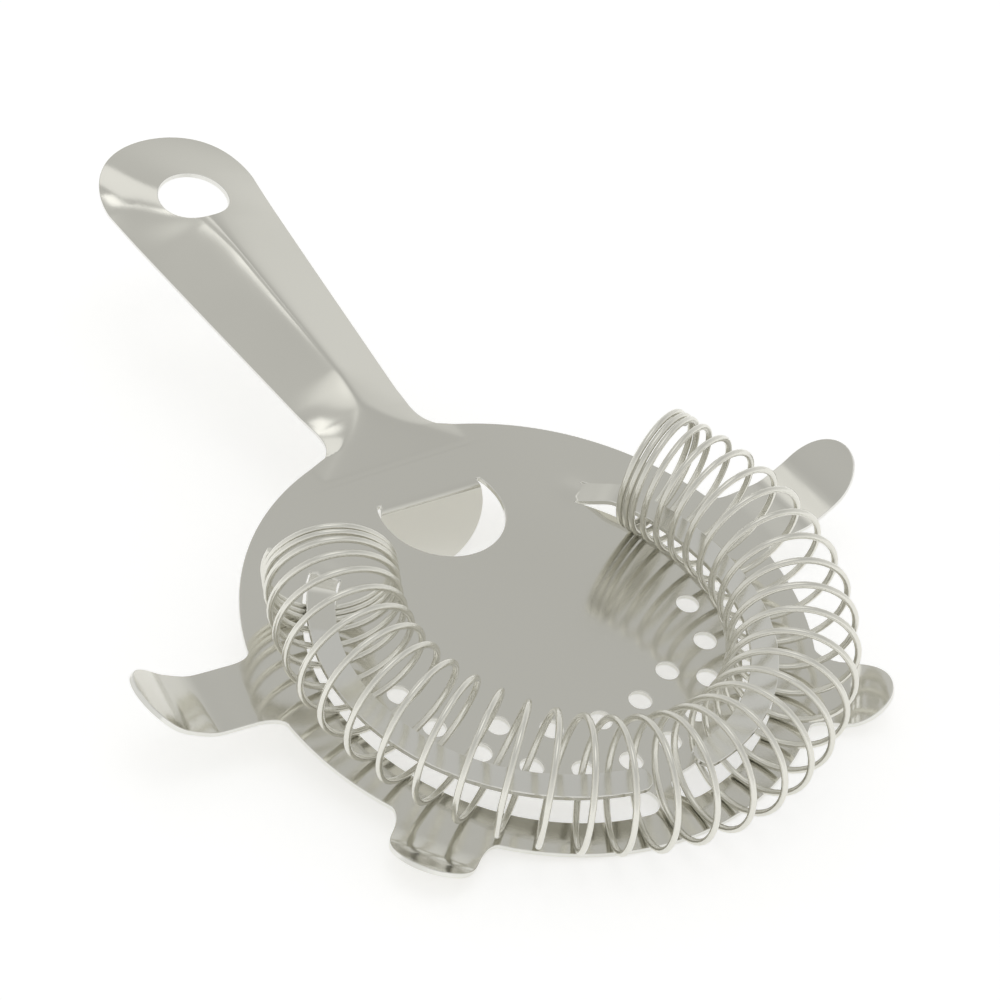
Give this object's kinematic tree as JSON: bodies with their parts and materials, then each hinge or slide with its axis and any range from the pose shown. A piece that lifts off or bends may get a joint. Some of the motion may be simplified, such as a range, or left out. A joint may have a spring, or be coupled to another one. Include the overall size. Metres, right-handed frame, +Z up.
{
  "type": "hawthorne strainer",
  "caption": "Pressed steel cocktail strainer: a pierced disc with rounded ears, a ridged handle with a hang hole, and a coil spring wound round its front edge.",
  "frame": {"origin": "centre of the bounding box seen from above, at the level of the surface the strainer stands on", "axes": "+X from the handle towards the front of the coil, along the table; +Y to the right ear's side; +Z up, the coil above the disc. The disc is tipped 9.1 degrees about +Y, handle end up"},
  "size_m": [0.1758, 0.135, 0.0313],
  "materials": {
    "sheet": "polished pressed sheet with a faint rolled grain",
    "wire": "bright drawn wire"
  },
  "bodies": {
    "strainer_body": {"strainer_plate": "sheet", "finger_tab": "sheet", "neck": "sheet", "handle_blade": "sheet", "handle_eye": "sheet", "ear_front_left": "sheet", "ear_side_left": "sheet", "spring_finger_left": "sheet", "ear_front_right": "sheet", "ear_side_right": "sheet", "spring_finger_right": "sheet", "spring_end_left": "wire", "spring_arm_left_rear": "wire", "spring_arm_left_fore": "wire", "spring_arm_right_fore": "wire", "spring_arm_right_rear": "wire", "spring_end_right": "wire"},
    "spring_front": {"spring_front_left": "wire", "spring_front_centre": "wire", "spring_front_right": "wire"}
  },
  "joints": [
    {"name": "spring_gate", "type": "slide", "parent": "strainer_body", "child": "spring_front", "axis": [-0.9874, 0, 0.1582], "range_m": [0, 0.0035], "stiffness_N_per_m": 300}
  ]
}
